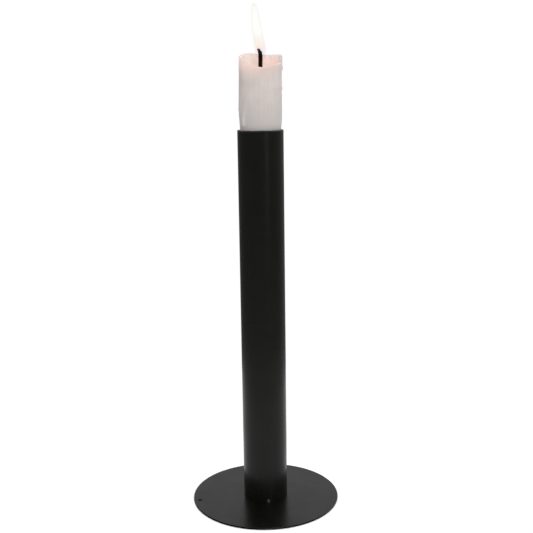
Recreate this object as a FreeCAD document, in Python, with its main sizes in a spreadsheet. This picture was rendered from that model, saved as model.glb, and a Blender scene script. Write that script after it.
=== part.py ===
import FreeCAD, Part
import os
import Sketcher

# A tall candlestick: a thin round steel plate, a plain steel tube tack-welded upright on it, and a
# pressed steel stop inside the tube near its mouth. A crown candle with a tapered foot stands on
# the stop and lifts out of the tube. It is burning, with a melt cup, a pool of liquid wax, a
# charred wick and a flame.
#
# Frame: +Z is up, the origin is the centre of the plate's underside, and the front is -Y.
# Levels of the candle, pool, wick and flame are measured up from the candle's foot.

SIZES = (
    ("plate_diameter", 80.5, "mm, round foot plate"),
    ("plate_thickness", 1.0, "mm, sheet the plate is cut from"),
    ("plate_edge_round", 0.3, "mm, deburred outer edge of the plate"),
    ("hang_hole_diameter", 2.4, "mm, hole the holder hangs by while it is coated"),
    ("hang_hole_angle", 191.0, "degrees from +X, a little to the front of -X"),
    ("hang_hole_inset", 3.2, "mm, plate rim to the middle of the hang hole"),
    ("tube_diameter", 24.0, "mm, outside of the tube"),
    ("tube_wall", 1.0, "mm"),
    ("tube_length", 202.5, "mm"),
    ("tube_edge_round", 0.25, "mm, both edges of the tube's mouth"),
    ("tack_width", 2.2, "mm, around the tube"),
    ("tack_reach", 1.0, "mm, out over the plate"),
    ("tack_height", 2.4, "mm, up the tube"),
    ("tack_first_angle", 277.0, "degrees from +X, the tack at the front"),
    ("seat_depth", 25.0, "mm, tube mouth down to the candle's foot"),
    ("stop_height", 6.0, "mm, skirt of the pressed stop"),
    ("stop_gauge", 0.8, "mm, sheet the stop is pressed from"),
    ("stop_corner_round", 1.2, "mm, outside of the pressed corner"),
    ("candle_diameter", 22.6, "mm, above the tapered foot"),
    ("candle_height", 63.4, "mm, foot to the highest part of the rim"),
    ("candle_foot_diameter", 19.2, "mm"),
    ("candle_taper_length", 36.0, "mm, foot to full diameter"),
    ("candle_foot_chamfer", 0.8, "mm"),
    ("cup_mouth_diameter", 20.4, "mm, melt cup at the rim"),
    ("cup_pool_diameter", 17.6, "mm, melt cup at the liquid's level"),
    ("cup_floor_diameter", 8.0, "mm"),
    ("cup_floor_level", 53.4, "mm"),
    ("pool_level", 56.0, "mm"),
    ("dip_left_level", 61.6, "mm, melted-down front rim at its left end"),
    ("dip_low_level", 56.5, "mm, lowest part of the front rim"),
    ("dip_low_offset", 1.0, "mm, right of the axis"),
    ("dip_right_level", 58.8, "mm, front rim at its right end"),
    ("dip_right_start", 7.5, "mm, right of the axis, where the rim levels out"),
    ("wick_diameter", 2.2, "mm"),
    ("wick_straight", 61.8, "mm, foot to the start of the bend"),
    ("wick_bend_radius", 5.0, "mm"),
    ("wick_bend_angle", 42.0, "degrees, towards -X"),
    ("flame_base_level", 60.8, "mm"),
    ("flame_base_offset", 1.0, "mm, right of the axis"),
    ("flame_diameter", 6.1, "mm, at its widest"),
    ("flame_belly", 5.4, "mm, base to the widest part"),
    ("flame_length", 28.0, "mm"),
    ("flame_lean", 9.0, "degrees, towards -X"),
)

TACK_COUNT = 3
FULL_TURN = 360.0
LARGE = 200.0  # mm, longer than any cut has to reach
X_AXIS = -1
Y_AXIS = -2
START = 1
END = 2
CENTRE = 3

doc = FreeCAD.newDocument("tube_candlestick")
sheet = doc.addObject("Spreadsheet::Sheet", "Sizes")
for row, (alias, value, meaning) in enumerate(SIZES, start=1):
    sheet.set(f"A{row}", meaning)
    sheet.set(f"B{row}", str(value))
    sheet.setAlias(f"B{row}", alias)
doc.recompute()


# ---------------------------------------------------------------- helpers

def number(expression):
    """The plain value of an expression over the sheet."""
    result = sheet.evalExpression(expression)
    return float(getattr(result, "Value", result))


def new_body(label, level=None):
    """A body of its own, at a level above the plate's underside."""
    body = doc.addObject("PartDesign::Body", label)
    body.Label = label
    if level:
        body.setExpression("Placement.Base.z", level)
    return body


def new_sketch(body, name, role):
    """A sketch on one of the body's own origin planes."""
    sketch = body.newObject("Sketcher::SketchObject", name)
    plane = next(f for f in body.Origin.OriginFeatures if f.Role == role)
    sketch.AttachmentSupport = [(plane, "")]
    sketch.MapMode = "FlatFace"
    return sketch


def fix_coordinate(sketch, kind, geometry, point, expression):
    """Hold one coordinate of a point to an expression."""
    size = number(expression)
    if abs(size) < 1e-9:
        axis = Y_AXIS if kind == "DistanceX" else X_AXIS
        sketch.addConstraint(Sketcher.Constraint("PointOnObject", geometry, point, axis))
    elif size > 0:
        index = sketch.addConstraint(
            Sketcher.Constraint(kind, X_AXIS, START, geometry, point, size))
        sketch.setExpression(f"Constraints[{index}]", expression)
    else:
        index = sketch.addConstraint(
            Sketcher.Constraint(kind, geometry, point, X_AXIS, START, -size))
        sketch.setExpression(f"Constraints[{index}]", f"-({expression})")


def fix_point(sketch, geometry, point, across, up):
    """Hold both coordinates of a point."""
    fix_coordinate(sketch, "DistanceX", geometry, point, across)
    fix_coordinate(sketch, "DistanceY", geometry, point, up)


def add_circle(sketch, diameter, across="0", up="0"):
    """A circle whose diameter and centre follow the sheet."""
    centre = FreeCAD.Vector(number(across), number(up), 0)
    normal = FreeCAD.Vector(0, 0, 1)
    circle = sketch.addGeometry(Part.Circle(centre, normal, number(diameter) / 2))
    index = sketch.addConstraint(
        Sketcher.Constraint("Diameter", circle, number(diameter)))
    sketch.setExpression(f"Constraints[{index}]", diameter)
    fix_point(sketch, circle, CENTRE, across, up)


def add_outline(sketch, corners):
    """A closed outline of straight lines, each corner an (across, up) pair of expressions."""
    places = [FreeCAD.Vector(number(across), number(up), 0) for across, up in corners]
    count = len(corners)
    for i in range(count):
        sketch.addGeometry(Part.LineSegment(places[i], places[(i + 1) % count]))
    for i in range(count):
        sketch.addConstraint(
            Sketcher.Constraint("Coincident", i, END, (i + 1) % count, START))
    for i, (across, up) in enumerate(corners):
        fix_point(sketch, i, START, across, up)


def pad(body, sketch, length):
    """Pad a sketch upwards."""
    feature = body.newObject("PartDesign::Pad", f"{body.Name}_pad")
    feature.Profile = sketch
    feature.setExpression("Length", length)
    sketch.Visibility = False
    return feature


def revolve(body, sketch):
    """Turn a sketch on the XZ plane once round the body's Z axis."""
    feature = body.newObject("PartDesign::Revolution", f"{body.Name}_revolution")
    feature.Profile = sketch
    feature.ReferenceAxis = (sketch, ["V_Axis"])
    feature.Angle = FULL_TURN
    sketch.Visibility = False
    return feature


def pocket(body, sketch, name):
    """Cut a sketch through the body, up from the XY plane or forwards from the XZ plane."""
    doc.recompute()
    before = body.Shape.Volume
    feature = body.newObject("PartDesign::Pocket", name)
    feature.Profile = sketch
    feature.Type = "Length"
    feature.Length = LARGE
    feature.Reversed = True
    doc.recompute()
    if not body.Shape.Volume < before:
        raise RuntimeError(f"{name} removed nothing")
    return feature


def circular_edges(feature, diameter, level):
    """Names of the feature's round edges of one diameter at one level."""
    names = []
    for index, edge in enumerate(feature.Shape.Edges, start=1):
        if not isinstance(edge.Curve, Part.Circle):
            continue
        same_size = abs(edge.Curve.Radius - diameter / 2) < 1e-6
        same_level = abs(edge.Curve.Center.z - level) < 1e-6
        if same_size and same_level:
            names.append(f"Edge{index}")
    return names


def fillet(body, base, edges, radius, name):
    """Round the named edges of the feature before it."""
    feature = body.newObject("PartDesign::Fillet", name)
    feature.Base = (base, edges)
    feature.setExpression("Radius", radius)
    return feature


# ---------------------------------------------------------------- holder

def make_base_plate():
    """Thin disc with a rounded rim and one small hang hole near it."""
    body = new_body("base_plate")
    outline = new_sketch(body, "plate_outline", "XY_Plane")
    add_circle(outline, "Sizes.plate_diameter")
    disc = pad(body, outline, "Sizes.plate_thickness")
    doc.recompute()
    diameter = number("Sizes.plate_diameter")
    rims = []
    for level in (0.0, number("Sizes.plate_thickness")):
        rims += circular_edges(disc, diameter, level)
    fillet(body, disc, rims, "Sizes.plate_edge_round", "plate_rim_round")
    reach = "(Sizes.plate_diameter / 2 - Sizes.hang_hole_inset)"
    turn = "(Sizes.hang_hole_angle * 1 deg)"
    hole = new_sketch(body, "hang_hole_outline", "XY_Plane")
    add_circle(hole, "Sizes.hang_hole_diameter", f"{reach} * cos({turn})", f"{reach} * sin({turn})")
    pocket(body, hole, "hang_hole")
    return body


def make_stem_tube():
    """Plain round tube, square where it meets the plate and rounded at the mouth."""
    body = new_body("stem_tube", "Sizes.plate_thickness")
    bore = "Sizes.tube_diameter - 2 * Sizes.tube_wall"
    outline = new_sketch(body, "tube_outline", "XY_Plane")
    add_circle(outline, "Sizes.tube_diameter")
    add_circle(outline, bore)
    wall = pad(body, outline, "Sizes.tube_length")
    doc.recompute()
    length = number("Sizes.tube_length")
    mouth = circular_edges(wall, number("Sizes.tube_diameter"), length)
    mouth += circular_edges(wall, number(bore), length)
    fillet(body, wall, mouth, "Sizes.tube_edge_round", "tube_mouth_round")
    return body


def make_foot_tacks():
    """Three small weld beads in the corner between the tube and the plate."""
    level = "Sizes.plate_thickness"
    beads = []
    for i in range(TACK_COUNT):
        bead = doc.addObject("Part::Ellipsoid", f"tack_bead_{i + 1}")
        bead.setExpression("Radius1", "Sizes.tack_height")
        bead.setExpression("Radius2", "Sizes.tack_reach")
        bead.setExpression("Radius3", "Sizes.tack_width / 2")
        turn = f"(Sizes.tack_first_angle + {i} * {FULL_TURN / TACK_COUNT}) * 1 deg"
        bead.Placement.Rotation = FreeCAD.Rotation(FreeCAD.Vector(0, 0, 1), 1.0)
        bead.setExpression("Placement.Rotation.Angle", turn)
        bead.setExpression("Placement.Base.x", f"Sizes.tube_diameter / 2 * cos({turn})")
        bead.setExpression("Placement.Base.y", f"Sizes.tube_diameter / 2 * sin({turn})")
        bead.setExpression("Placement.Base.z", level)
        beads.append(bead)
    all_beads = doc.addObject("Part::Compound", "tack_beads")
    all_beads.Links = beads
    tube_space = doc.addObject("Part::Cylinder", "tube_space")
    tube_space.setExpression("Radius", "Sizes.tube_diameter / 2")
    tube_space.setExpression("Height", "Sizes.tube_length")
    plate_space = doc.addObject("Part::Cylinder", "plate_space")
    plate_space.setExpression("Radius", "Sizes.plate_diameter / 2")
    plate_space.Height = LARGE
    plate_space.setExpression("Placement.Base.z", f"{level} - {LARGE}")
    above_plate = doc.addObject("Part::Cut", "tacks_above_plate")
    above_plate.Base = all_beads
    above_plate.Tool = plate_space
    tacks = doc.addObject("Part::Cut", "foot_tacks")
    tacks.Label = "foot_tacks"
    tacks.Base = above_plate
    tacks.Tool = tube_space
    return tacks


def make_candle_stop():
    """Shallow pressed cup, skirt down, that fits tightly in the tube and carries the candle."""
    level = ("Sizes.plate_thickness + Sizes.tube_length"
             " - Sizes.seat_depth - Sizes.stop_height")
    body = new_body("candle_stop", level)
    outer = "Sizes.tube_diameter / 2 - Sizes.tube_wall"
    inner = f"{outer} - Sizes.stop_gauge"
    top = "Sizes.stop_height"
    under = "Sizes.stop_height - Sizes.stop_gauge"
    section = new_sketch(body, "stop_section", "XZ_Plane")
    corners = ((inner, "0"), (outer, "0"), (outer, top), ("0", top), ("0", under), (inner, under))
    add_outline(section, corners)
    cup = revolve(body, section)
    doc.recompute()
    outside = circular_edges(cup, 2 * number(outer), number(top))
    rounded = fillet(body, cup, outside, "Sizes.stop_corner_round", "stop_outer_round")
    doc.recompute()
    inside = circular_edges(rounded, 2 * number(inner), number(under))
    fillet(body, rounded, inside, "Sizes.stop_corner_round - Sizes.stop_gauge", "stop_inner_round")
    return body


# ---------------------------------------------------------------- candle

CANDLE_LEVEL = "Sizes.plate_thickness + Sizes.tube_length - Sizes.seat_depth"
WICK_RADIUS = "Sizes.wick_diameter / 2"


def make_candle():
    """Wax column with a tapered foot, a melt cup on top and its front rim melted down."""
    body = new_body("candle", CANDLE_LEVEL)
    radius = "Sizes.candle_diameter / 2"
    foot = "Sizes.candle_foot_diameter / 2"
    corners = (
        (WICK_RADIUS, "0"),
        (f"{foot} - Sizes.candle_foot_chamfer", "0"),
        (foot, "Sizes.candle_foot_chamfer"),
        (radius, "Sizes.candle_taper_length"),
        (radius, "Sizes.candle_height"),
        ("Sizes.cup_mouth_diameter / 2", "Sizes.candle_height"),
        ("Sizes.cup_pool_diameter / 2", "Sizes.pool_level"),
        ("Sizes.cup_floor_diameter / 2", "Sizes.cup_floor_level"),
        (WICK_RADIUS, "Sizes.cup_floor_level"),
    )
    section = new_sketch(body, "candle_section", "XZ_Plane")
    add_outline(section, corners)
    revolve(body, section)
    dip = new_sketch(body, "front_rim_dip", "XZ_Plane")
    above = "Sizes.candle_height + 1"
    add_outline(dip, (
        (f"-({radius}) - 1", "Sizes.dip_left_level"),
        ("Sizes.dip_low_offset", "Sizes.dip_low_level"),
        ("Sizes.dip_right_start", "Sizes.dip_right_level - 0.5"),
        (f"{radius} + 1", "Sizes.dip_right_level"),
        (f"{radius} + 1", above),
        (f"-({radius}) - 1", above),
    ))
    pocket(body, dip, "front_rim_cut")
    return body


def make_melt_pool():
    """Liquid wax that fills the bottom of the melt cup round the wick."""
    body = new_body("melt_pool", CANDLE_LEVEL)
    section = new_sketch(body, "pool_section", "XZ_Plane")
    add_outline(section, (
        (WICK_RADIUS, "Sizes.cup_floor_level"),
        ("Sizes.cup_floor_diameter / 2", "Sizes.cup_floor_level"),
        ("Sizes.cup_pool_diameter / 2", "Sizes.pool_level"),
        (WICK_RADIUS, "Sizes.pool_level"),
    ))
    revolve(body, section)
    return body


def make_wick():
    """Cotton wick through the whole candle, its free end curled over."""
    body = new_body("wick", CANDLE_LEVEL)
    straight = "Sizes.wick_straight"
    bend = "Sizes.wick_bend_radius"
    turn = "Sizes.wick_bend_angle * 1 deg"
    path = new_sketch(body, "wick_path", "XZ_Plane")
    foot = FreeCAD.Vector(0, 0, 0)
    bend_start = FreeCAD.Vector(0, number(straight), 0)
    path.addGeometry(Part.LineSegment(foot, bend_start))
    centre = FreeCAD.Vector(-number(bend), number(straight), 0)
    circle = Part.Circle(centre, FreeCAD.Vector(0, 0, 1), number(bend))
    turn_end = FreeCAD.Units.Quantity(f"{number('Sizes.wick_bend_angle')} deg").getValueAs("rad")
    path.addGeometry(Part.ArcOfCircle(circle, 0.0, float(turn_end)))
    fix_point(path, 0, START, "0", "0")
    fix_point(path, 0, END, "0", straight)
    fix_point(path, 1, CENTRE, f"-({bend})", straight)
    path.addConstraint(Sketcher.Constraint("Coincident", 0, END, 1, START))
    fix_coordinate(path, "DistanceY", 1, END, f"{straight} + {bend} * sin({turn})")
    strand = new_sketch(body, "wick_strand", "XY_Plane")
    add_circle(strand, "Sizes.wick_diameter")
    doc.recompute()
    sweep = body.newObject("PartDesign::AdditivePipe", "wick_sweep")
    sweep.Profile = strand
    sweep.Spine = (path, ["Edge1", "Edge2"])
    return body


def make_flame(wick):
    """Teardrop of two half ellipsoids, a short one under a long one, open round the wick."""
    halves = []
    for name, height, lowest, highest in (
        ("flame_lower_half", "Sizes.flame_belly", -90, 0),
        ("flame_upper_half", "Sizes.flame_length - Sizes.flame_belly", 0, 90),
    ):
        half = doc.addObject("Part::Ellipsoid", name)
        half.setExpression("Radius1", height)
        half.setExpression("Radius2", "Sizes.flame_diameter / 2")
        half.setExpression("Radius3", "Sizes.flame_diameter / 2")
        half.Angle1 = lowest
        half.Angle2 = highest
        half.setExpression("Placement.Base.z", "Sizes.flame_belly")
        halves.append(half)
    envelope = doc.addObject("Part::Fuse", "flame_envelope")
    envelope.Base, envelope.Tool = halves
    lean = FreeCAD.Rotation(FreeCAD.Vector(0, -1, 0), 1.0)
    envelope.Placement = FreeCAD.Placement(FreeCAD.Vector(0, 0, 0), lean)
    envelope.setExpression("Placement.Rotation.Angle", "Sizes.flame_lean * 1 deg")
    envelope.setExpression("Placement.Base.x", "Sizes.flame_base_offset")
    envelope.setExpression("Placement.Base.z", f"{CANDLE_LEVEL} + Sizes.flame_base_level")
    flame = doc.addObject("Part::Cut", "flame")
    flame.Label = "flame"
    flame.Base = envelope
    flame.Tool = wick
    return flame


# ---------------------------------------------------------------- build, check, write

wick = make_wick()
sub_parts = [
    make_base_plate(),
    make_stem_tube(),
    make_foot_tacks(),
    make_candle_stop(),
    make_candle(),
    make_melt_pool(),
    wick,
    make_flame(wick),
]
doc.recompute()

for item in doc.Objects:
    if "Invalid" in item.State or "Error" in item.State:
        raise RuntimeError(f"{item.Name} did not compute: {item.State}")
for item in sub_parts:
    if item.Shape.isNull() or not item.Shape.isValid():
        raise RuntimeError(f"{item.Label} has no valid shape")

os.makedirs("parts", exist_ok=True)
for item in sub_parts:
    item.Shape.exportStep(f"parts/{item.Label}.step")
    box = item.Shape.BoundBox
    print(f"{item.Label}: {len(item.Shape.Solids)} solid(s), {item.Shape.Volume:.1f} mm3, "
          f"z {box.ZMin:.2f} to {box.ZMax:.2f}")
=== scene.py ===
import math

import bmesh
import bpy
from mathutils import Matrix, Vector, noise


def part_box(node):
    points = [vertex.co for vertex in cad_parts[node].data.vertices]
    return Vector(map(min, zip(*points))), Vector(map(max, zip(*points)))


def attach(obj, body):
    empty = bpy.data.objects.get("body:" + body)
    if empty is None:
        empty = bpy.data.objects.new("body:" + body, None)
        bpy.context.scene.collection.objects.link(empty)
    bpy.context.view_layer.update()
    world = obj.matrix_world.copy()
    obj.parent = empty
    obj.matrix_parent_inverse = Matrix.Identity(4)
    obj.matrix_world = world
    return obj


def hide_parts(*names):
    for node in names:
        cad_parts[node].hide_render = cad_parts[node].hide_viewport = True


# A tall black candlestick: a round plate, a straight tube, and a burning candle in its mouth.
# Steel pieces keep their CAD shape and get a semi-gloss powder coat. The candle, its liquid wax,
# wick and flame are built here, on the candle's own body, from the CAD boxes.

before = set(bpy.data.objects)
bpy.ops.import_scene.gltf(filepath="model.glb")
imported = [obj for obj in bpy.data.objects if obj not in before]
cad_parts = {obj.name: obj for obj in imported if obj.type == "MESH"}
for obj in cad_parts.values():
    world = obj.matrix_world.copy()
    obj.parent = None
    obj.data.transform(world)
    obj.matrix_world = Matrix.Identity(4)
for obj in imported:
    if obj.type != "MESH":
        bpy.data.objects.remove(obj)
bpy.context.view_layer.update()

MM = 0.001  # metres

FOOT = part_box("candle")[0].z
CANDLE_RADIUS = (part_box("candle")[1].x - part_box("candle")[0].x) / 2
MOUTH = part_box("stem_tube")[1].z
PLATE_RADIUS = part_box("base_plate")[1].x
POOL_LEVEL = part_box("melt_pool")[1].z
POOL_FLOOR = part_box("melt_pool")[0].z
POOL_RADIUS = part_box("melt_pool")[1].x
WICK_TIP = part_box("wick")[1].z
FLAME_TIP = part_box("flame")[1].z
LEAN = 0.016  # sideways per length: the warm candle leans a little to +X above the mouth


# ---------------------------------------------------------------- mesh helpers


def new_piece(name, vertices, faces, body):
    """A smooth-shaded mesh object that rides on a body and leans with the candle."""
    mesh = bpy.data.meshes.new(name)
    mesh.from_pydata([(x + LEAN * max(0.0, z - MOUTH), y, z) for x, y, z in vertices], [], faces)
    work = bmesh.new()
    work.from_mesh(mesh)
    bmesh.ops.recalc_face_normals(work, faces=work.faces)
    work.to_mesh(mesh)
    work.free()
    mesh.shade_smooth()
    piece = bpy.data.objects.new(name, mesh)
    bpy.context.scene.collection.objects.link(piece)
    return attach(piece, body)


def ring_faces(first, columns, rows, wrap_rows=False):
    """Quads over a grid of columns round an axis and rows along it, its vertices from first on."""
    faces = []
    for column in range(columns):
        beside = (column + 1) % columns
        for row in range(rows if wrap_rows else rows - 1):
            above = (row + 1) % rows
            faces.append((
                first + column * rows + row,
                first + beside * rows + row,
                first + beside * rows + above,
                first + column * rows + above,
            ))
    return faces


def smooth_step(low, high, value):
    """0 below low, 1 above high, smooth between them."""
    part = min(1.0, max(0.0, (value - low) / (high - low)))
    return part * part * (3 - 2 * part)


def hermite(part, start, end, slope_in, slope_out, span):
    """Cubic between two values with given slopes."""
    return (
        (2 * part ** 3 - 3 * part ** 2 + 1) * start
        + (part ** 3 - 2 * part ** 2 + part) * slope_in * span
        + (3 * part ** 2 - 2 * part ** 3) * end
        + (part ** 3 - part ** 2) * slope_out * span
    )


def closed_curve(points, angle):
    """Smooth closed curve through (degrees, value) points, at an angle in degrees."""
    count = len(points)
    angle %= 360.0

    def point(i):
        turns, place = divmod(i, count)
        return points[place][0] + 360.0 * turns, points[place][1]

    def slope(i):
        before, after = point(i - 1), point(i + 1)
        return (after[1] - before[1]) / (after[0] - before[0])

    start = max(i for i in range(-1, count) if point(i)[0] <= angle)
    (low, value), (high, next_value) = point(start), point(start + 1)
    part = (angle - low) / (high - low)
    return hermite(part, value, next_value, slope(start), slope(start + 1), high - low)


def open_curve(points, at):
    """Smooth curve through (place, value) points with rising places."""
    last = len(points) - 1

    def slope(i):
        before, after = points[max(i - 1, 0)], points[min(i + 1, last)]
        return (after[1] - before[1]) / (after[0] - before[0])

    at = min(max(at, points[0][0]), points[last][0])
    start = max(i for i in range(last) if points[i][0] <= at)
    (low, value), (high, next_value) = points[start], points[start + 1]
    part = (at - low) / (high - low)
    return hermite(part, value, next_value, slope(start), slope(start + 1), high - low)


# ---------------------------------------------------------------- material helpers

class Nodes:
    """Short calls for building one material's node tree."""

    def __init__(self, name):
        self.material = bpy.data.materials.new(name)
        self.material.use_nodes = True
        self.tree = self.material.node_tree
        self.tree.nodes.clear()
        self.output = self.add("ShaderNodeOutputMaterial")

    def add(self, kind, **values):
        """A node, with its properties and its inputs by name."""
        node = self.tree.nodes.new(kind)
        for key, value in values.items():
            if key in node.bl_rna.properties:
                setattr(node, key, value)
            else:
                node.inputs[key.replace("_", " ")].default_value = value
        return node

    def link(self, source, target):
        self.tree.links.new(source, target)

    def shader(self, **values):
        """The Principled shader, joined to the output."""
        node = self.add("ShaderNodeBsdfPrincipled", **values)
        self.link(node.outputs["BSDF"], self.output.inputs["Surface"])
        return node

    def position(self, stretch=(1.0, 1.0, 1.0)):
        """The place on the piece, in metres, stretched along each axis."""
        place = self.add("ShaderNodeTexCoord")
        mapping = self.add("ShaderNodeMapping")
        mapping.inputs["Scale"].default_value = stretch
        self.link(place.outputs["Object"], mapping.inputs["Vector"])
        return mapping.outputs["Vector"]

    def noise(self, size, detail=3.0, roughness=0.5, stretch=(1.0, 1.0, 1.0)):
        """Noise whose features are about size metres wide."""
        texture = self.add("ShaderNodeTexNoise", Scale=1.0 / size, Detail=detail, Roughness=roughness)
        self.link(self.position(stretch), texture.inputs["Vector"])
        return texture.outputs["Fac"]

    def spots(self, size):
        """Distance to scattered points about size metres apart, in cell sizes."""
        texture = self.add("ShaderNodeTexVoronoi", Scale=1.0 / size)
        self.link(self.position(), texture.inputs["Vector"])
        return texture.outputs["Distance"]

    def ramp(self, source, low, high, start, end):
        """A value moved from the range low..high to start..end, smoothly and without passing them."""
        node = self.add("ShaderNodeMapRange", interpolation_type="SMOOTHSTEP")
        node.inputs["From Min"].default_value = low
        node.inputs["From Max"].default_value = high
        node.inputs["To Min"].default_value = start
        node.inputs["To Max"].default_value = end
        self.link(source, node.inputs["Value"])
        return node.outputs["Result"]

    def math(self, operation, first, second):
        """One arithmetic step on two numbers or outputs."""
        node = self.add("ShaderNodeMath", operation=operation)
        for source, target in ((first, node.inputs[0]), (second, node.inputs[1])):
            if isinstance(source, (int, float)):
                target.default_value = source
            else:
                self.link(source, target)
        return node.outputs[0]

    def mix(self, factor, first, second):
        """Colour between two colours or colour outputs."""
        node = self.add("ShaderNodeMix", data_type="RGBA")
        self.link(factor, node.inputs["Factor"])
        for source, name in ((first, "A"), (second, "B")):
            target = next(s for s in node.inputs if s.name == name and s.type == "RGBA")
            if isinstance(source, tuple):
                target.default_value = (*source, 1.0)
            else:
                self.link(source, target)
        return next(s for s in node.outputs if s.type == "RGBA")

    def bump(self, height, strength, distance, under=None):
        """A bump from a height, over another bump if one is given."""
        node = self.add("ShaderNodeBump", Strength=strength, Distance=distance)
        self.link(height, node.inputs["Height"])
        if under is not None:
            self.link(under, node.inputs["Normal"])
        return node.outputs["Normal"]

    def along(self, axis):
        """The place along the axis "X", "Y" or "Z", in metres."""
        split = self.add("ShaderNodeSeparateXYZ")
        self.link(self.position(), split.inputs["Vector"])
        return split.outputs[axis]

    def upward(self):
        """How much the surface faces straight up or down, 0 on an upright wall."""
        split = self.add("ShaderNodeSeparateXYZ")
        self.link(self.add("ShaderNodeNewGeometry").outputs["Normal"], split.inputs["Vector"])
        return self.math("ABSOLUTE", split.outputs["Z"], 0.0)

    def from_axis(self):
        """The place's distance from the candlestick's axis in metres."""
        length = self.add("ShaderNodeVectorMath", operation="LENGTH")
        self.link(self.position((1.0, 1.0, 0.0)), length.inputs[0])
        return length.outputs["Value"]


# ---------------------------------------------------------------- steel

GLOSS_SPREAD = 0.07  # how much rougher the coat's dullest patches are than its smoothest
DUST_SHARE = 0.35


def black_coat(name, rim_wear_highlight_radius=None, mouth_wear_highlight_height=None, ior=1.28, smoothest=0.26):
    """Black semi-gloss powder coat: fine orange peel, uneven gloss and dust.

    Given a rim radius, its rim at that distance from the axis gets worn patches, lighter towards +X,
    which are also a painted highlight, and its upright wall gets painted shade: darker, with its
    reflection turned down. Given a mouth height, its top edge there gets worn patches which are
    also a painted highlight.
    """
    nodes = Nodes(name)
    shader = nodes.shader(IOR=ior)
    cloud = nodes.noise(22 * MM, detail=4.0)
    colour = nodes.mix(nodes.ramp(cloud, 0.35, 0.65, 0.0, 1.0),
                       (0.0041, 0.0041, 0.0035), (0.0058, 0.0058, 0.0050))
    dust = nodes.ramp(nodes.spots(3.2 * MM), 0.05, 0.10, 1.0, 0.0)
    sparse = nodes.ramp(nodes.noise(9 * MM, detail=1.0), 0.60, 0.66, 0.0, 1.0)
    dust = nodes.math("MULTIPLY", dust, sparse)
    colour = nodes.mix(nodes.math("MULTIPLY", dust, DUST_SHARE), colour, (0.10, 0.10, 0.10))
    patches = nodes.noise(14 * MM, detail=5.0, roughness=0.6)
    gloss = nodes.ramp(patches, 0.30, 0.70, smoothest, smoothest + GLOSS_SPREAD)
    if rim_wear_highlight_radius:
        # The rim's worn patches are also a painted highlight of its rounded edge, stronger towards +X.
        rim = nodes.ramp(nodes.from_axis(), rim_wear_highlight_radius - 0.9 * MM, rim_wear_highlight_radius, 0.0, 1.0)
        highlight_side = nodes.ramp(nodes.along("X"), -0.5 * rim_wear_highlight_radius, 0.7 * rim_wear_highlight_radius, 0.2, 0.5)
        patch = nodes.ramp(nodes.noise(5 * MM, detail=4.0, roughness=0.7), 0.35, 0.60, 0.3, 1.0)
        wear_and_highlight = nodes.math("MULTIPLY", rim, patch)
        colour = nodes.mix(nodes.math("MULTIPLY", wear_and_highlight, highlight_side), colour, (0.045, 0.045, 0.047))
        gloss = nodes.math("ADD", gloss, nodes.math("MULTIPLY", wear_and_highlight, 0.12))
        # Painted shade: the plate's upright wall is darkened and its reflection turned down.
        wall = nodes.ramp(nodes.upward(), 0.3, 0.8, 1.0, 0.0)
        colour = nodes.mix(wall, colour, (0.0026, 0.0026, 0.0024))
        nodes.link(nodes.ramp(wall, 0.0, 1.0, 0.5, 0.02), shader.inputs["Specular IOR Level"])
    if mouth_wear_highlight_height:
        # Worn patches on the mouth's top edge, which are also a painted highlight of that edge.
        rim = nodes.ramp(nodes.along("Z"), mouth_wear_highlight_height - 0.9 * MM, mouth_wear_highlight_height - 0.2 * MM, 0.0, 1.0)
        patch = nodes.ramp(nodes.noise(4 * MM, detail=5.0, roughness=0.7), 0.38, 0.62, 0.25, 1.0)
        colour = nodes.mix(nodes.math("MULTIPLY", rim, patch), colour, (0.066, 0.063, 0.060))
    nodes.link(colour, shader.inputs["Base Color"])
    nodes.link(nodes.math("ADD", gloss, nodes.math("MULTIPLY", dust, 0.3)), shader.inputs["Roughness"])
    peel = nodes.bump(nodes.noise(1.1 * MM, detail=1.0), 0.30, 0.02 * MM)
    grain = nodes.bump(nodes.noise(0.25 * MM, detail=1.0), 0.20, 0.004 * MM, under=peel)
    nodes.link(nodes.bump(dust, 0.3, 0.02 * MM, under=grain), shader.inputs["Normal"])
    return nodes.material


def finish_steel():
    """Powder coat on the four steel pieces, with painted highlight on the plate's rim and the tube's
    mouth and painted shade on the plate's wall.
    """
    coat = black_coat("black_coat")
    pooled_coat = black_coat("black_coat_pooled", ior=1.7, smoothest=0.10)
    rim_coat = black_coat("black_coat_rim_wear_highlight_shade", rim_wear_highlight_radius=PLATE_RADIUS)
    mouth_coat = black_coat("black_coat_mouth_wear_highlight", mouth_wear_highlight_height=MOUTH)
    for node, material in (
        ("base_plate", rim_coat),
        ("stem_tube", mouth_coat),
        ("foot_tacks", pooled_coat),
        ("candle_stop", coat),
    ):
        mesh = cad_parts[node].data
        mesh.materials.clear()
        mesh.materials.append(material)


# ---------------------------------------------------------------- wax

# The rim's height above the tube's mouth round the candle, degrees from +X against mm. Its front
# has melted down. Chosen to follow the photo at the front and sides.
RIM_HEIGHTS = (
    (0, 37.0), (20, 37.9), (70, 38.0), (112, 38.9), (136, 38.8), (160, 37.8), (182, 37.0), (200, 36.1),
    (220, 34.7), (245, 32.7), (272, 31.4), (296, 32.2), (338, 33.7), (350, 35.0),
)
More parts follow.
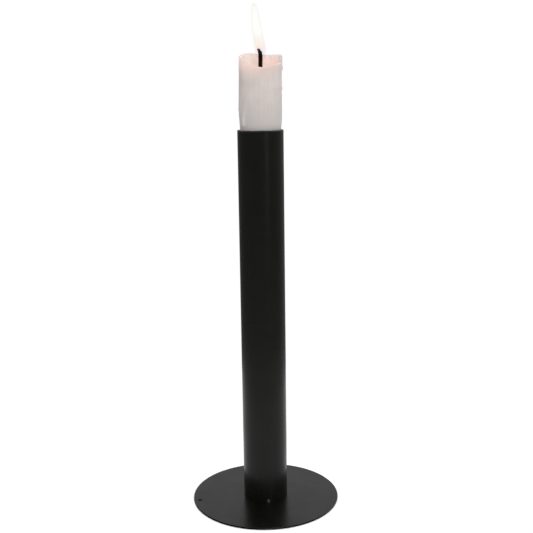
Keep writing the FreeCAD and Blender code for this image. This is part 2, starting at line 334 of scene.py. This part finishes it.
# Set drops of wax: degrees, mm above the mouth, mm proud, width in mm, height in mm. The first
# five are one run that bends to the left as it goes down.
WAX_DROPS = (
    (232, 16.0, 0.14, 1.9, 3.6),
    (229, 11.8, 0.20, 1.8, 2.6),
    (223, 8.4, 0.26, 1.7, 2.2),
    (219, 5.4, 0.38, 1.6, 2.0),
    (218, 3.0, 0.34, 1.5, 1.5),
    (186, 10.4, 0.20, 1.6, 0.9),
    (356, 30.7, 0.55, 1.3, 0.9),
    (354, 20.8, 0.50, 1.0, 0.8),
    (352, 16.6, 0.22, 1.0, 1.1),
    (284, 27.0, 0.12, 2.4, 5.0),
    (60, 24.0, 0.35, 1.3, 7.0),
    (66, 15.0, 0.45, 1.2, 2.0),
    (128, 30.0, 0.40, 1.6, 4.5),
    (131, 24.5, 0.50, 1.3, 1.8),
)
# How far the warm candle's left and right sides lie inside a straight candle's: mm above the mouth
# against mm, chosen to follow the photo's outline.
LEFT_LOSS = ((0.0, 0.36), (4.0, 0.24), (10.0, 0.04), (24.0, 0.27), (40.0, 0.24))
RIGHT_LOSS = (
    (0.0, 0.15), (4.0, -0.08), (9.0, 0.06), (14.0, 0.26), (29.0, 0.40), (31.5, 0.14), (40.0, 0.08),
)
TAPER_LENGTH = 36 * MM
FOOT_RADIUS = 9.6 * MM
FOOT_CHAMFER = 0.8 * MM
RIM_ROUND = 0.48 * MM  # radius of the rim's rounding
WICK_CHANNEL = 1.1 * MM  # radius of the wick's hole through the wax
CUP_FLOOR_RADIUS = 4.0 * MM
BLUNT_END = 1.8  # a set drop ends this much more abruptly below than above
FULL_DROP = 0.4 * MM  # a set drop this proud has the drops' full colour
GLOW_REACH = 14 * MM  # the flame's glow in the wax ends less than this far below the rim
CANDLE_COLUMNS = 200
FOOT_ROWS = 3
SOCKET_LEVELS = (FOOT + 6 * MM, FOOT + 12 * MM, FOOT + 18 * MM, MOUTH - 1.5 * MM, MOUTH - 0.4 * MM)
FREE_ROWS = 84  # rows of the outside above the tube's mouth
OUTER_ROWS = FOOT_ROWS + len(SOCKET_LEVELS) + FREE_ROWS  # rows before the rim's rounding
RIM_STEPS = 8
CUP_STEPS = 16
CUP_FLOOR_STEPS = 4


def drop_height(angle, z):
    """How far the set drops stand out of the candle's side."""
    total = 0.0
    for drop_angle, level, proud, width, height in WAX_DROPS:
        away = (angle - drop_angle + 180) % 360 - 180
        across = math.radians(away) * CANDLE_RADIUS / (width * MM)
        up = (z - MOUTH - level * MM) / (height * MM)
        if up < 0:
            up *= BLUNT_END
        total += proud * MM * math.exp(-across * across - up * up)
    return total


def column_radius(angle, z):
    """The candle's outer radius, with lumps, faint flutes and the set drops."""
    radius = FOOT_RADIUS + (CANDLE_RADIUS - FOOT_RADIUS) * min(1.0, (z - FOOT) / TAPER_LENGTH)
    free = smooth_step(MOUTH + 0.3 * MM, MOUTH + 4 * MM, z)
    turn = math.radians(angle)
    place = Vector((math.cos(turn), math.sin(turn), 0)) * CANDLE_RADIUS + Vector((0, 0, z))
    lumps = 0.11 * MM * noise.noise(place / (7 * MM))
    lumps += 0.035 * MM * noise.noise(place / (1.6 * MM))
    flute = Vector((place.x / (1.3 * MM), place.y / (1.3 * MM), z / (22 * MM)))
    flutes = 0.05 * MM * noise.noise(flute)
    above = (z - MOUTH) / MM
    left = open_curve(LEFT_LOSS, above) * (1 - math.cos(turn)) / 2
    right = open_curve(RIGHT_LOSS, above) * (1 + math.cos(turn)) / 2
    loss = (left + right) * MM * smooth_step(MOUTH - 3 * MM, MOUTH, z)
    return radius - loss + free * (lumps + flutes + drop_height(angle, z))


def rim_level(angle):
    """The height of the rim's edge."""
    turn = math.radians(angle)
    uneven = 0.16 * MM * noise.noise(Vector((math.cos(turn), math.sin(turn), 0)) * 3.1)
    return MOUTH + closed_curve(RIM_HEIGHTS, angle) * MM + uneven


def candle_column(angle):
    """One column of the candle's skin: up the outside, over the rim, into the cup, down the wick."""
    rim = rim_level(angle)
    column = [
        (WICK_CHANNEL, FOOT),
        (FOOT_RADIUS - FOOT_CHAMFER, FOOT),
        (FOOT_RADIUS, FOOT + FOOT_CHAMFER),
    ]
    for z in SOCKET_LEVELS:
        column.append((column_radius(angle, z), z))
    shoulder = rim - RIM_ROUND
    for row in range(FREE_ROWS):
        z = MOUTH + (shoulder - MOUTH) * row / FREE_ROWS
        column.append((column_radius(angle, z), z))
    edge = column_radius(angle, shoulder)
    for step in range(RIM_STEPS + 1):
        turn = math.pi * step / RIM_STEPS
        column.append((edge - RIM_ROUND * (1 - math.cos(turn)), shoulder + RIM_ROUND * math.sin(turn)))
    inner = edge - 2 * RIM_ROUND
    shore = POOL_LEVEL - 0.05 * MM
    for step in range(1, CUP_STEPS + 1):
        part = step / CUP_STEPS
        sag = part ** 0.75
        column.append((inner + (POOL_RADIUS - inner) * part ** 1.5, shoulder + (shore - shoulder) * sag))
    for step in range(1, CUP_FLOOR_STEPS + 1):
        part = step / CUP_FLOOR_STEPS
        column.append((POOL_RADIUS + (CUP_FLOOR_RADIUS - POOL_RADIUS) * part,
                       shore + (POOL_FLOOR - shore) * part))
    column.append((WICK_CHANNEL, POOL_FLOOR))
    column.append((WICK_CHANNEL, (POOL_FLOOR + FOOT) / 2))
    return column


def wax_marks(nodes):
    """The marks that make_candle leaves: depth below the rim, in the cup or not, set drops."""
    marks = nodes.add("ShaderNodeVertexColor", layer_name="wax_marks")
    split = nodes.add("ShaderNodeSeparateColor")
    nodes.link(marks.outputs["Color"], split.inputs["Color"])
    return split.outputs["Red"], split.outputs["Green"], split.outputs["Blue"]


def wax_colour(nodes, streaks, lip):
    """Cloudy and streaked, with painted shade: greyer low down, a darker lip; painted flame glow: rosy
    in the cup and under the rim.
    """
    below_rim, in_cup, drops = wax_marks(nodes)
    cloud = nodes.noise(6 * MM, detail=4.0)
    colour = nodes.mix(nodes.ramp(cloud, 0.3, 0.7, 0.0, 1.0), (0.78, 0.722, 0.69), (0.83, 0.78, 0.748))
    colour = nodes.mix(nodes.ramp(streaks, 0.50, 0.72, 0.0, 0.35), colour, (0.90, 0.87, 0.84))
    # Painted shade: the wax is greyer towards the tube's mouth, where less light reaches it.
    painted_shade_low = nodes.ramp(nodes.along("Z"), MOUTH, MOUTH + 22 * MM, 1.0, 0.0)
    colour = nodes.mix(painted_shade_low, colour, (0.71, 0.672, 0.655))
    colour = nodes.mix(nodes.ramp(drops, 0.1, 1.0, 0.0, 0.6), colour, (0.92, 0.89, 0.87))
    # Painted glow of the flame: rosy under the rim.
    colour = nodes.mix(nodes.ramp(below_rim, 0.0, 0.60, 1.0, 0.0), colour, (0.87, 0.74, 0.70))
    # Painted glow of the flame in the cup, rosier at the left, where the flame is.
    right = nodes.ramp(nodes.along("X"), -4 * MM, 7 * MM, 0.0, 1.0)
    cup = nodes.mix(right, (0.93, 0.762, 0.73), (0.84, 0.728, 0.71))
    colour = nodes.mix(nodes.ramp(in_cup, 0.5, 1.0, 0.0, 1.0), colour, cup)
    # Painted shade on the lip of the rim, darker at the right.
    return nodes.mix(lip, colour, nodes.mix(right, (0.77, 0.62, 0.575), (0.67, 0.54, 0.50)))


def wax_glow(nodes):
    """A faint glow of the outside, as if the flame shone through it at the left, below the rim."""
    below_rim, in_cup, _ = wax_marks(nodes)
    glow = nodes.math("MULTIPLY", nodes.ramp(below_rim, 0.0, 0.80, 0.18, 0.0),
                      nodes.ramp(nodes.along("X"), -11.5 * MM, 4 * MM, 1.3, 0.0))
    glow = nodes.math("MULTIPLY", glow, nodes.ramp(in_cup, 0.0, 0.3, 1.0, 0.0))
    return nodes.math("MULTIPLY", glow, nodes.ramp(below_rim, 0.0, 0.09, 0.3, 1.0))


def wax_material():
    """Stearin wax: cloudy and translucent, with fine streaks and a soft sheen."""
    nodes = Nodes("wax")
    shader = nodes.shader(IOR=1.44, Specular_IOR_Level=0.25, Subsurface_Weight=1.0,
                          Subsurface_Scale=2.8 * MM, Subsurface_Radius=(1.0, 0.76, 0.66),
                          Subsurface_Anisotropy=0.4)
    streaks = nodes.noise(1.4 * MM, detail=3.0, stretch=(1.0, 1.0, 0.07))
    in_cup = wax_marks(nodes)[1]
    # The lip mask: it darkens the rim's lip with painted shade and makes it rougher.
    lip = nodes.math("MULTIPLY", in_cup, nodes.math("SUBTRACT", 1.0, in_cup))
    lip = nodes.math("MULTIPLY", lip, 3.4)
    nodes.link(wax_colour(nodes, streaks, lip), shader.inputs["Base Color"])
    nodes.link(wax_glow(nodes), shader.inputs["Emission Strength"])
    shader.inputs["Emission Color"].default_value = (1.0, 0.68, 0.60, 1.0)
    matt = nodes.ramp(nodes.noise(3 * MM, detail=5.0), 0.3, 0.7, 0.34, 0.52)
    nodes.link(nodes.math("ADD", matt, nodes.math("MULTIPLY", lip, 0.4)), shader.inputs["Roughness"])
    soft = nodes.bump(nodes.noise(2.4 * MM, detail=3.0), 0.35, 0.12 * MM)
    fine = nodes.bump(streaks, 0.25, 0.05 * MM, under=soft)
    pores = nodes.ramp(nodes.spots(1.3 * MM), 0.05, 0.20, 0.0, 1.0)
    nodes.link(nodes.bump(pores, 0.25, 0.03 * MM, under=fine), shader.inputs["Normal"])
    return nodes.material


def make_candle():
    """Wax column with a tapered foot, a melt cup and a melted-down front rim.

    Its colour attribute holds marks for the material: red is the depth below the rim, 1 at
    GLOW_REACH; green is 0 outside and 1 in the cup; blue is how proud the set drops are.
    """
    vertices, marks = [], []
    rows = len(candle_column(0.0))
    for i in range(CANDLE_COLUMNS):
        angle = 360.0 * i / CANDLE_COLUMNS
        turn = math.radians(angle)
        rim = rim_level(angle)
        for row, (radius, z) in enumerate(candle_column(angle)):
            vertices.append((radius * math.cos(turn), radius * math.sin(turn), z))
            in_cup = smooth_step(OUTER_ROWS, OUTER_ROWS + RIM_STEPS, row)
            below_rim = 0.0 if row > OUTER_ROWS else min(1.0, (rim - z) / GLOW_REACH)
            drops = min(1.0, drop_height(angle, z) / FULL_DROP)
            marks.append((below_rim, in_cup, drops, 1.0))
    faces = ring_faces(0, CANDLE_COLUMNS, rows, wrap_rows=True)
    candle = new_piece("wax_candle", vertices, faces, "candle")
    attribute = candle.data.color_attributes.new("wax_marks", "FLOAT_COLOR", "POINT")
    for item, mark in zip(attribute.data, marks):
        item.color = mark
    candle.data.materials.append(wax_material())
    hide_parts("candle")


def liquid_wax_material():
    """Clear molten wax: very smooth, with slow ripples and a few specks of char."""
    nodes = Nodes("liquid_wax")
    shader = nodes.shader(IOR=1.43, Subsurface_Weight=0.8, Subsurface_Scale=1.6 * MM,
                          Subsurface_Radius=(1.0, 0.85, 0.75))
    ring = nodes.ramp(nodes.from_axis(), 1.0 * MM, 6.5 * MM, 1.0, 0.0)
    colour = nodes.mix(ring, (0.93, 0.84, 0.79), (0.86, 0.73, 0.60))
    specks = nodes.ramp(nodes.spots(2.1 * MM), 0.03, 0.07, 1.0, 0.0)
    near = nodes.ramp(nodes.from_axis(), 2.0 * MM, 6.0 * MM, 0.8, 0.0)
    colour = nodes.mix(nodes.math("MULTIPLY", specks, near), colour, (0.05, 0.035, 0.025))
    nodes.link(colour, shader.inputs["Base Color"])
    nodes.link(nodes.ramp(nodes.noise(2.5 * MM), 0.3, 0.7, 0.03, 0.08), shader.inputs["Roughness"])
    nodes.link(nodes.bump(nodes.noise(5 * MM, detail=1.0), 0.3, 0.06 * MM), shader.inputs["Normal"])
    return nodes.material


def make_melt_pool():
    """Liquid wax with a small meniscus at the cup's wall and up the wick."""
    rings, columns = 26, 96
    gap = 0.04 * MM
    inner = WICK_CHANNEL - gap
    outer = POOL_RADIUS + 0.12 * MM
    rows = []
    for ring in range(rings):
        part = 0.5 - 0.5 * math.cos(math.pi * ring / (rings - 1))
        radius = inner + (outer - inner) * part
        climb = 0.30 * MM * math.exp((inner - radius) / (0.5 * MM))
        climb += 0.10 * MM * math.exp((radius - outer) / (0.6 * MM))
        rows.append((radius, POOL_LEVEL - 0.18 * MM + climb))
    rows.append((CUP_FLOOR_RADIUS, POOL_FLOOR + gap))
    rows.append((inner, POOL_FLOOR + gap))
    vertices = []
    for i in range(columns):
        turn = 2 * math.pi * i / columns
        for radius, z in rows:
            vertices.append((radius * math.cos(turn), radius * math.sin(turn), z))
    faces = ring_faces(0, columns, len(rows), wrap_rows=True)
    pool = new_piece("liquid_wax_pool", vertices, faces, "candle")
    pool.data.materials.append(liquid_wax_material())
    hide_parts("melt_pool")


# ---------------------------------------------------------------- wick

WICK_BEND_START = 62.2 * MM  # above the candle's foot
WICK_BEND_RADIUS = 5.0 * MM
WICK_BEND_ANGLE = math.radians(44)
STRANDS = 3
STRAND_RADIUS = 0.58 * MM
STRAND_OFFSET = 0.52 * MM
STRAND_PITCH = 4.2 * MM
STRAND_SIDES = 12


def wick_place(along):
    """A point on the wick's centre line and its direction there."""
    if along <= WICK_BEND_START:
        return Vector((0, 0, FOOT + along)), Vector((0, 0, 1))
    turn = (along - WICK_BEND_START) / WICK_BEND_RADIUS
    centre = Vector((-WICK_BEND_RADIUS, 0, FOOT + WICK_BEND_START))
    place = centre + WICK_BEND_RADIUS * Vector((math.cos(turn), 0, math.sin(turn)))
    return place, Vector((-math.sin(turn), 0, math.cos(turn)))


def wick_material():
    """Braided cotton, waxy and pale below the pool, charred black and brown above it, with a painted red
    glow at the burning tip.
    """
    nodes = Nodes("charred_wick")
    shader = nodes.shader(IOR=1.2)
    char = nodes.mix(nodes.ramp(nodes.noise(0.6 * MM, detail=4.0), 0.35, 0.7, 0.0, 1.0),
                     (0.0030, 0.0018, 0.0014), (0.012, 0.006, 0.004))
    ash = nodes.ramp(nodes.noise(0.35 * MM, detail=3.0), 0.66, 0.78, 0.0, 0.5)
    char = nodes.mix(ash, char, (0.05, 0.035, 0.028))
    # Painted glow: the burning tip is tinted red in its base colour.
    painted_ember_glow = nodes.ramp(nodes.along("Z"), WICK_TIP - 1.6 * MM, WICK_TIP, 0.0, 1.0)
    char = nodes.mix(painted_ember_glow, char, (0.085, 0.027, 0.023))
    burnt = nodes.ramp(nodes.along("Z"), POOL_LEVEL - 1.0 * MM, POOL_LEVEL + 0.5 * MM, 0.0, 1.0)
    nodes.link(nodes.mix(burnt, (0.80, 0.72, 0.60), char), shader.inputs["Base Color"])
    nodes.link(nodes.ramp(nodes.noise(0.5 * MM), 0.3, 0.7, 0.70, 0.95), shader.inputs["Roughness"])
    fibres = nodes.bump(nodes.noise(0.12 * MM, detail=3.0, stretch=(1.0, 1.0, 0.25)), 0.7, 0.05 * MM)
    nodes.link(fibres, shader.inputs["Normal"])
    return nodes.material


def make_wick():
    """Three strands twisted round each other, from the candle's foot to the curled tip."""
    length = WICK_BEND_START + WICK_BEND_RADIUS * WICK_BEND_ANGLE
    steps = 190
    vertices, faces = [], []
    for strand in range(STRANDS):
        first = len(vertices)
        for step in range(steps):
            along = length * step / (steps - 1)
            place, ahead = wick_place(along)
            aside = Vector((0, 1, 0))
            outward = ahead.cross(aside)
            turn = 2 * math.pi * (along / STRAND_PITCH + strand / STRANDS)
            narrow = 1.0 - 0.45 * smooth_step(length - 3.2 * MM, length, along)
            fray = 1.0 + 0.22 * noise.noise(Vector((strand * 7.0, 0, along / (0.9 * MM))))
            middle = place + STRAND_OFFSET * narrow * (outward * math.cos(turn) + aside * math.sin(turn))
            swell = 1.0 + 0.14 * smooth_step(POOL_LEVEL - FOOT, POOL_LEVEL - FOOT + 0.8 * MM, along)
            radius = STRAND_RADIUS * narrow * (swell * fray if swell > 1.0 else 1.0)
            for side in range(STRAND_SIDES):
                spin = 2 * math.pi * side / STRAND_SIDES
                vertices.append(middle + radius * (outward * math.cos(spin) + aside * math.sin(spin)))
        for step in range(steps - 1):
            for side in range(STRAND_SIDES):
                beside = (side + 1) % STRAND_SIDES
                low, high = first + step * STRAND_SIDES, first + (step + 1) * STRAND_SIDES
                faces.append((low + side, low + beside, high + beside, high + side))
        faces.append(tuple(first + side for side in range(STRAND_SIDES)))
        faces.append(tuple(first + (steps - 1) * STRAND_SIDES + side for side in range(STRAND_SIDES)))
    wick = new_piece("braided_wick", vertices, faces, "candle")
    wick.data.materials.append(wick_material())
    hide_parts("wick")


# ---------------------------------------------------------------- flame

# The flame's outline: height below its tip in mm against centre and half width in mm.
FLAME_CENTRES = ((0.0, -3.5), (8.3, -2.4), (14.6, -1.6), (22.4, -0.1), (28.4, 0.4))
FLAME_WIDTHS = (
    (0.0, 0.0), (0.5, 0.7), (1.7, 1.3), (5.2, 2.0), (14.6, 2.6), (22.2, 3.05), (25.0, 2.85),
    (27.2, 2.0), (28.2, 1.0), (28.4, 0.0),
)
FLAME_LAYERS = (1.0, 0.78, 0.58, 0.38)  # each layer's share of the full width
FLAME_END = 0.004  # mm, the radius at which each layer is closed off
FLAME_COLUMNS = 40
FLAME_ROWS = 44


def flame_look(layer, part):
    """One layer's glow with its cover, and its tint, part of the way from the tip to the base."""
    warm = smooth_step(0.50, 0.72, part)
    low = smooth_step(0.71, 0.825, part)
    tip = smooth_step(0.0, 0.12, part)
    if layer == 0:
        glow = Vector((0.93, 0.93, 0.90)).lerp(Vector((0.93, 0.87, 0.82)), warm)
        cover = 0.16 * (1.0 - low)
        tint = Vector((0.965, 0.965, 0.96)).lerp(Vector((0.965, 0.945, 0.96)), low)
    else:
        glow = Vector((1.04, 1.04, 1.01)).lerp(Vector((1.0, 0.89, 0.80)), warm)
        cover = 0.50 * (1.0 - low) * (0.3 + 0.7 * tip)
        tint = Vector((1.0, 1.0, 1.0)).lerp(Vector((0.987, 0.972, 0.980)), low)
    return (*glow, cover), (*tint, 1.0)


def flame_material():
    """Light with no surface: each layer adds its glow and tints what is behind it."""
    nodes = Nodes("flame")
    glow = nodes.add("ShaderNodeVertexColor", layer_name="flame_glow")
    tint = nodes.add("ShaderNodeVertexColor", layer_name="flame_tint")
    flicker = nodes.noise(4 * MM, detail=2.0, stretch=(1.0, 1.0, 0.3))
    light = nodes.add("ShaderNodeEmission")
    nodes.link(glow.outputs["Color"], light.inputs["Color"])
    nodes.link(nodes.ramp(flicker, 0.3, 0.7, 0.98, 1.04), light.inputs["Strength"])
    clear = nodes.add("ShaderNodeBsdfTransparent")
    nodes.link(tint.outputs["Color"], clear.inputs["Color"])
    blend = nodes.add("ShaderNodeMixShader")
    nodes.link(glow.outputs["Alpha"], blend.inputs["Fac"])
    nodes.link(clear.outputs["BSDF"], blend.inputs[1])
    nodes.link(light.outputs["Emission"], blend.inputs[2])
    nodes.link(blend.outputs["Shader"], nodes.output.inputs["Surface"])
    return nodes.material


def make_flame():
    """Nested closed layers along a leaning line, thin and clear outside, bright inside."""
    length = FLAME_WIDTHS[-1][0]
    vertices, faces, looks = [], [], []
    for layer, share in enumerate(FLAME_LAYERS):
        first = len(vertices)
        for column in range(FLAME_COLUMNS):
            turn = 2 * math.pi * column / FLAME_COLUMNS
            for row in range(FLAME_ROWS):
                part = 0.5 - 0.5 * math.cos(math.pi * row / (FLAME_ROWS - 1))
                below = length * (0.5 + (part - 0.5) * (0.55 + 0.45 * share))
                radius = max(FLAME_END, open_curve(FLAME_WIDTHS, part * length) * share)
                middle = open_curve(FLAME_CENTRES, below)
                vertices.append((
                    (middle + radius * math.cos(turn)) * MM,
                    radius * math.sin(turn) * MM,
                    FLAME_TIP - below * MM,
                ))
                looks.append(flame_look(layer, below / length))
        faces += ring_faces(first, FLAME_COLUMNS, FLAME_ROWS)
        for row in (0, FLAME_ROWS - 1):
            faces.append(tuple(first + column * FLAME_ROWS + row for column in range(FLAME_COLUMNS)))
    flame = new_piece("candle_flame", vertices, faces, "candle")
    for place, name in enumerate(("flame_glow", "flame_tint")):
        attribute = flame.data.color_attributes.new(name, "FLOAT_COLOR", "POINT")
        for item, look in zip(attribute.data, looks):
            item.color = look[place]
    flame.data.materials.append(flame_material())
    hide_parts("flame")
    add_flame_light(flame)


def add_flame_light(flame):
    """A small warm lamp that moves with the flame."""
    lamp = bpy.data.lights.new("flame_light", "POINT")
    lamp.energy = 0.0015
    lamp.color = (1.0, 0.68, 0.60)
    lamp.shadow_soft_size = 2.2 * MM
    light = bpy.data.objects.new("flame_light", lamp)
    light.location = (0.2 * MM, 0, POOL_LEVEL + 9 * MM)
    bpy.context.scene.collection.objects.link(light)
    light.parent = flame


# ---------------------------------------------------------------- floor, light and camera

FLOOR_RADIUS = 0.23


def make_floor():
    """A pale matt round shooting table that glows a little, except under the object."""
    rings, columns = 40, 96
    vertices = [(0.0, 0.0, 0.0)]
    for ring in range(1, rings + 1):
        radius = FLOOR_RADIUS * ring / rings
        for column in range(columns):
            turn = 2 * math.pi * column / columns
            vertices.append((radius * math.cos(turn), radius * math.sin(turn), 0.0))
    faces = [(0, 1 + column, 1 + (column + 1) % columns) for column in range(columns)]
    for ring in range(rings - 1):
        for column in range(columns):
            beside = (column + 1) % columns
            inner, outer = 1 + ring * columns, 1 + (ring + 1) * columns
            faces.append((inner + column, outer + column, outer + beside, inner + beside))
    mesh = bpy.data.meshes.new("floor")
    mesh.from_pydata(vertices, [], faces)
    floor = bpy.data.objects.new("floor", mesh)
    bpy.context.scene.collection.objects.link(floor)
    nodes = Nodes("pale_floor")
    shader = nodes.shader(Roughness=0.9)
    shader.inputs["Emission Color"].default_value = (1.0, 1.0, 1.0, 1.0)
    lit = nodes.ramp(nodes.from_axis(), PLATE_RADIUS - 1 * MM, PLATE_RADIUS + 1 * MM, 0.0, 0.41)
    fall = nodes.ramp(nodes.from_axis(), PLATE_RADIUS, PLATE_RADIUS + 60 * MM, 0.0, 0.12)
    nodes.link(nodes.math("SUBTRACT", lit, fall), shader.inputs["Emission Strength"])
    colour = nodes.mix(nodes.noise(0.15), (0.90, 0.90, 0.90), (0.93, 0.93, 0.93))
    nodes.link(colour, shader.inputs["Base Color"])
    floor.data.materials.append(nodes.material)


LIGHT_TARGET = Vector((0.0, 0.0, 0.2))


def add_softbox(name, place, width, height, power):
    """A rectangular studio light that points at the upper part of the candlestick."""
    lamp = bpy.data.lights.new(name, "AREA")
    lamp.shape = "RECTANGLE"
    lamp.size = width
    lamp.size_y = height
    lamp.energy = power
    light = bpy.data.objects.new(name, lamp)
    light.location = place
    light.rotation_euler = (LIGHT_TARGET - Vector(place)).to_track_quat("-Z", "Y").to_euler()
    bpy.context.scene.collection.objects.link(light)
    return light


def make_surroundings():
    """A white backdrop for the camera, and studio light that is bright behind and dim low down."""
    world = bpy.data.worlds.new("studio")
    bpy.context.scene.world = world
    world.use_nodes = True
    tree = world.node_tree
    tree.nodes.clear()
    output = tree.nodes.new("ShaderNodeOutputWorld")
    direction = tree.nodes.new("ShaderNodeTexCoord")
    split = tree.nodes.new("ShaderNodeSeparateXYZ")
    tree.links.new(direction.outputs["Generated"], split.inputs["Vector"])

    def fade(source, low, high, start, end):
        """A smooth change from start to end, numbers or outputs, over low..high of the source."""
        node = tree.nodes.new("ShaderNodeMapRange")
        node.interpolation_type = "SMOOTHSTEP"
        for name, value in (("From Min", low), ("From Max", high)):
            node.inputs[name].default_value = value
        for name, value in (("To Min", start), ("To Max", end)):
            if isinstance(value, float):
                node.inputs[name].default_value = value
            else:
                tree.links.new(value, node.inputs[name])
        tree.links.new(source, node.inputs["Value"])
        return node.outputs["Result"]

    low_behind = fade(split.outputs["X"], 0.0, 0.9, 0.26, 0.48)
    low_light = fade(split.outputs["Y"], -0.6, 0.6, 0.45, low_behind)
    high_behind = fade(split.outputs["X"], -0.5, 0.5, 1.10, 1.20)
    high_light = fade(split.outputs["Y"], -0.5, 0.6, 0.62, high_behind)
    sides = fade(split.outputs["Z"], -0.02, 0.34, low_light, high_light)
    around = tree.nodes.new("ShaderNodeBackground")
    tree.links.new(fade(split.outputs["Z"], 0.62, 0.95, sides, 0.35), around.inputs["Strength"])
    backdrop = tree.nodes.new("ShaderNodeBackground")
    backdrop.inputs["Color"].default_value = (1.0, 1.0, 1.0, 1.0)
    rays = tree.nodes.new("ShaderNodeLightPath")
    blend = tree.nodes.new("ShaderNodeMixShader")
    tree.links.new(rays.outputs["Is Camera Ray"], blend.inputs["Fac"])
    tree.links.new(around.outputs["Background"], blend.inputs[1])
    tree.links.new(backdrop.outputs["Background"], blend.inputs[2])
    tree.links.new(blend.outputs["Shader"], output.inputs["Surface"])


def make_light():
    """A wide overhead light, a tall strip to the right of the camera, and a soft fill.

    The strip shows in reflections only, and the fill lights matt surfaces only.
    """
    lamp = bpy.data.lights.new("overhead", "SUN")
    lamp.energy = 0.8
    lamp.angle = math.radians(60)
    overhead = bpy.data.objects.new("overhead", lamp)
    overhead.rotation_euler = (math.radians(-12), 0.0, 0.0)
    bpy.context.scene.collection.objects.link(overhead)
    strip = add_softbox("right_strip", (0.70, -1.20, 0.62), width=0.25, height=1.2, power=1.6)
    strip.visible_diffuse = False
    fill = add_softbox("front_fill", (0.30, -1.28, 0.50), width=0.7, height=0.7, power=5.5)
    fill.visible_glossy = False


# The photograph's view, found by fitting it to the tube's edges and the plate's outline.
CAMERA_PLACE = Vector((0.0, -0.4641, 0.2263))
CAMERA_PITCH = math.radians(11.57)  # down
CAMERA_YAW = math.radians(0.27)  # to the right
CAMERA_ROLL = math.radians(-0.80)  # the picture's top leans left
LENS = 60.0
SENSOR = 36.0


def make_camera():
    """A short telephoto view from a little above the tube's mouth, looking slightly down."""
    ahead = Vector((
        math.sin(CAMERA_YAW) * math.cos(CAMERA_PITCH),
        math.cos(CAMERA_YAW) * math.cos(CAMERA_PITCH),
        -math.sin(CAMERA_PITCH),
    ))
    level = Vector((math.cos(CAMERA_YAW), -math.sin(CAMERA_YAW), 0.0))
    upright = level.cross(ahead)
    right = math.cos(CAMERA_ROLL) * level + math.sin(CAMERA_ROLL) * upright
    up = right.cross(ahead)
    turn = Matrix((right, up, -ahead)).transposed()
    data = bpy.data.cameras.new("camera")
    data.lens = LENS
    data.sensor_width = SENSOR
    data.clip_start = 0.01
    camera = bpy.data.objects.new("camera", data)
    camera.matrix_world = Matrix.Translation(CAMERA_PLACE) @ turn.to_4x4()
    bpy.context.scene.collection.objects.link(camera)
    bpy.context.scene.camera = camera


make_camera()
finish_steel()
make_candle()
make_melt_pool()
make_wick()
make_flame()
make_floor()
make_surroundings()
make_light()
bpy.context.scene.view_settings.view_transform = "Standard"
